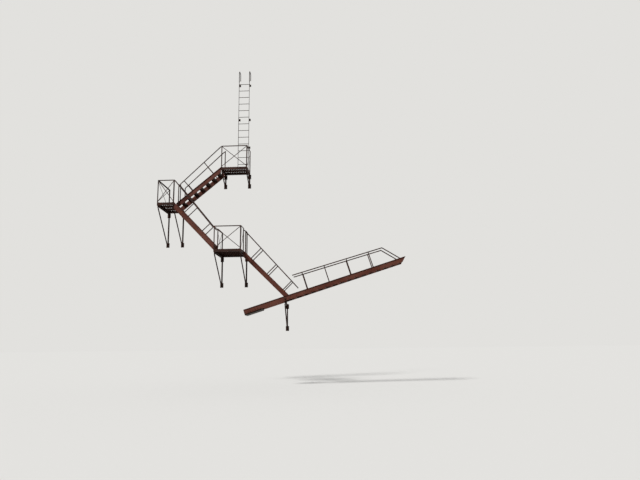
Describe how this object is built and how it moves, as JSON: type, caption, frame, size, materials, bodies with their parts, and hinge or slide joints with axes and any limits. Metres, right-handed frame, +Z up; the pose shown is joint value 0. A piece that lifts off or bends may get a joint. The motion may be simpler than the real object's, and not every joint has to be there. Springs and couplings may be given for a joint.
{
  "type": "fire escape stair",
  "caption": "Wall-hung steel fire escape: slatted decks on brackets, sloping flights with handrails, a roof ladder and a counterbalanced swing stair.",
  "frame": {"origin": "Wall face of the upper wall plate of the balcony's right bracket, at the middle of its four bolt holes, 5.10 m above the pavement.", "axes": "+X along the wall to the right as seen from the street, +Y into the wall, +Z up."},
  "size_m": [9.716, 1.555, 11.1599],
  "materials": {
    "frame_paint": "old red-brown paint, rusting",
    "rail_paint": "dark brown paint, rusting",
    "pivot_iron": "dull, greased and rusty",
    "cast_weight": "rough casting, painted and rusting"
  },
  "bodies": {
    "stair": {"roof_ladder_stiles": "rail_paint", "roof_ladder_rungs": "rail_paint", "top_platform_frame": "frame_paint", "top_platform_slats": "rail_paint", "top_platform_front_rail": "rail_paint", "top_platform_end_rail": "rail_paint", "top_platform_left_bracket": "frame_paint", "top_platform_right_bracket": "frame_paint", "upper_flight_outer_stringer": "frame_paint", "upper_flight_inner_stringer": "frame_paint", "upper_flight_treads": "rail_paint", "upper_flight_outer_rail": "rail_paint", "upper_flight_inner_rail": "rail_paint", "side_landing_frame": "frame_paint", "side_landing_slats": "rail_paint", "side_landing_front_rail": "rail_paint", "side_landing_end_rail": "rail_paint", "side_landing_left_bracket": "frame_paint", "side_landing_right_bracket": "frame_paint", "middle_flight_outer_stringer": "frame_paint", "middle_flight_inner_stringer": "frame_paint", "middle_flight_treads": "rail_paint", "middle_flight_outer_rail": "rail_paint", "middle_flight_inner_rail": "rail_paint", "balcony_frame": "frame_paint", "balcony_slats": "rail_paint", "balcony_front_rail": "rail_paint", "balcony_right_rail": "rail_paint", "balcony_left_rail": "rail_paint", "balcony_left_bracket": "frame_paint", "balcony_right_bracket": "frame_paint", "lower_flight_outer_stringer": "frame_paint", "lower_flight_inner_stringer": "frame_paint", "lower_flight_treads": "rail_paint", "lower_flight_outer_rail": "rail_paint", "lower_flight_inner_rail": "rail_paint", "pivot_bracket": "frame_paint", "pivot_shaft": "pivot_iron"},
    "swing_stair": {"swing_outer_stringer": "frame_paint", "swing_inner_stringer": "frame_paint", "swing_treads": "rail_paint", "swing_outer_rail": "rail_paint", "swing_inner_rail": "rail_paint", "counterweight": "cast_weight"}
  },
  "joints": [
    {"name": "swing_stair_hinge", "type": "hinge", "parent": "stair", "child": "swing_stair", "pos_m": [1.67181, -0.59, -1.69486], "axis": [0, 1, 0], "range_deg": [0, 61.8]}
  ]
}
